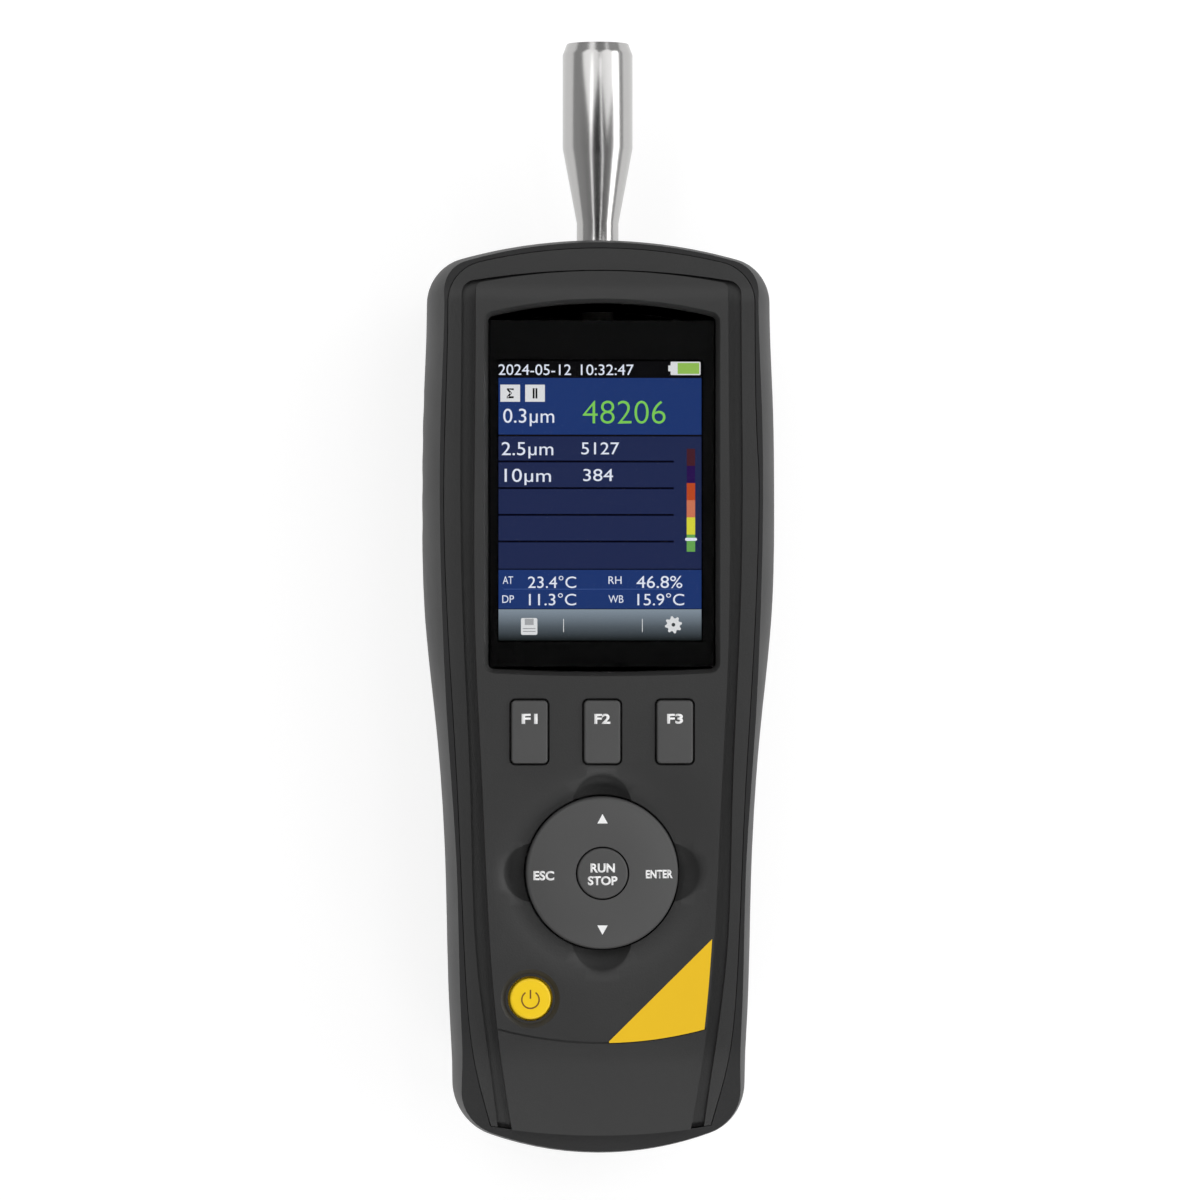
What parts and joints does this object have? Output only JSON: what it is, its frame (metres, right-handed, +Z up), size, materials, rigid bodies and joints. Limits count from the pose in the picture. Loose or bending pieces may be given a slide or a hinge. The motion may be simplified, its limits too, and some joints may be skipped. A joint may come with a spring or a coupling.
{
  "type": "airborne particle counter",
  "caption": "Handheld airborne particle counter with a flared sampling probe, colour display, function keys, round navigation key and side vents.",
  "frame": {"origin": "middle of the instrument's outline, on the surface it lies on, back down", "axes": "+X to the right of the display, +Y along the sampling probe, +Z up through the display"},
  "size_m": [0.0762, 0.24, 0.057],
  "materials": {
    "shell_plastic": "fine moulded texture, charcoal",
    "front_plastic": "fine moulded texture, near black",
    "window_acrylic": "clear hard-coated window with a black printed border",
    "black_rubber": "matte",
    "display_glass": "lit colour display",
    "key_plastic": "satin, mid grey, white printed legends",
    "power_plastic": "satin yellow",
    "inlay_plastic": "satin yellow film",
    "key_rubber": "silicone, translucent grey",
    "board_green": "solder resist",
    "screw_steel": "zinc plated",
    "turned_steel": "satin turned",
    "brass": "turned",
    "hose_rubber": "matte",
    "chamber_metal": "black anodised",
    "lens_glass": "polished",
    "pump_plastic": "moulded",
    "filter_plastic": "translucent white",
    "battery_wrap": "shrink wrap",
    "plated_metal": "bright plated",
    "gauze": "fine woven gauze"
  },
  "bodies": {
    "housing": {"rear_housing": "shell_plastic", "front_housing": "front_plastic", "display_window": "window_acrylic", "display_gasket": "black_rubber", "display_module": "display_glass", "accent_inlay": "inlay_plastic", "keypad_mat": "key_rubber", "main_board": "board_green", "board_screws": "screw_steel", "isokinetic_probe": "turned_steel", "inlet_fitting": "brass", "probe_seal": "black_rubber", "inlet_tube": "hose_rubber", "optical_chamber": "chamber_metal", "laser_module": "brass", "collecting_lens": "lens_glass", "detector_board": "board_green", "pump": "pump_plastic", "suction_hose": "hose_rubber", "exhaust_hose": "hose_rubber", "exhaust_filter": "filter_plastic", "battery_pack": "battery_wrap", "battery_contacts": "plated_metal", "io_board": "board_green", "usb_connector": "plated_metal", "power_jack": "plated_metal", "vent_screen_left": "gauze", "vent_screen_right": "gauze", "climate_sensor": "board_green", "tripod_insert": "brass", "housing_screws": "screw_steel", "buzzer": "pump_plastic"},
    "f1_key": {"function_key_1": "key_plastic"},
    "f2_key": {"function_key_2": "key_plastic"},
    "f3_key": {"function_key_3": "key_plastic"},
    "rocker": {"navigation_rocker": "black_rubber"},
    "navigation": {"navigation_key": "key_plastic"},
    "run_stop": {"run_stop_key": "key_plastic"},
    "power": {"power_key": "power_plastic"},
    "battery_door": {"battery_door": "shell_plastic"},
    "port_cover": {"port_cover": "black_rubber"}
  },
  "joints": [
    {"name": "f1_press", "type": "slide", "parent": "housing", "child": "f1_key", "axis": [0, 0, -1], "range_m": [0, 0.0009], "stiffness_N_per_m": 700},
    {"name": "f2_press", "type": "slide", "parent": "housing", "child": "f2_key", "axis": [0, 0, -1], "range_m": [0, 0.0009], "stiffness_N_per_m": 700},
    {"name": "f3_press", "type": "slide", "parent": "housing", "child": "f3_key", "axis": [0, 0, -1], "range_m": [0, 0.0009], "stiffness_N_per_m": 700},
    {"name": "run_stop_press", "type": "slide", "parent": "housing", "child": "run_stop", "axis": [0, 0, -1], "range_m": [0, 0.0009], "stiffness_N_per_m": 700},
    {"name": "power_press", "type": "slide", "parent": "housing", "child": "power", "axis": [0, 0, -1], "range_m": [0, 0.0009], "stiffness_N_per_m": 700},
    {"name": "navigation_tilt_up_down", "type": "hinge", "parent": "housing", "child": "rocker", "pos_m": [0, -0.0588, 0.05], "axis": [1, 0, 0], "range_deg": [-2, 2], "stiffness_Nm_per_rad": 1.2},
    {"name": "navigation_tilt_left_right", "type": "hinge", "parent": "rocker", "child": "navigation", "pos_m": [0, -0.0588, 0.05], "axis": [0, 1, 0], "range_deg": [-2, 2], "stiffness_Nm_per_rad": 1.2},
    {"name": "battery_door_slide", "type": "slide", "parent": "housing", "child": "battery_door", "axis": [0, -1, 0], "range_m": [0, 0.06]},
    {"name": "port_cover_swing", "type": "hinge", "parent": "housing", "child": "port_cover", "pos_m": [-0.015, -0.1184, 0.031], "axis": [0, 0, -1], "range_deg": [0, 100]}
  ]
}
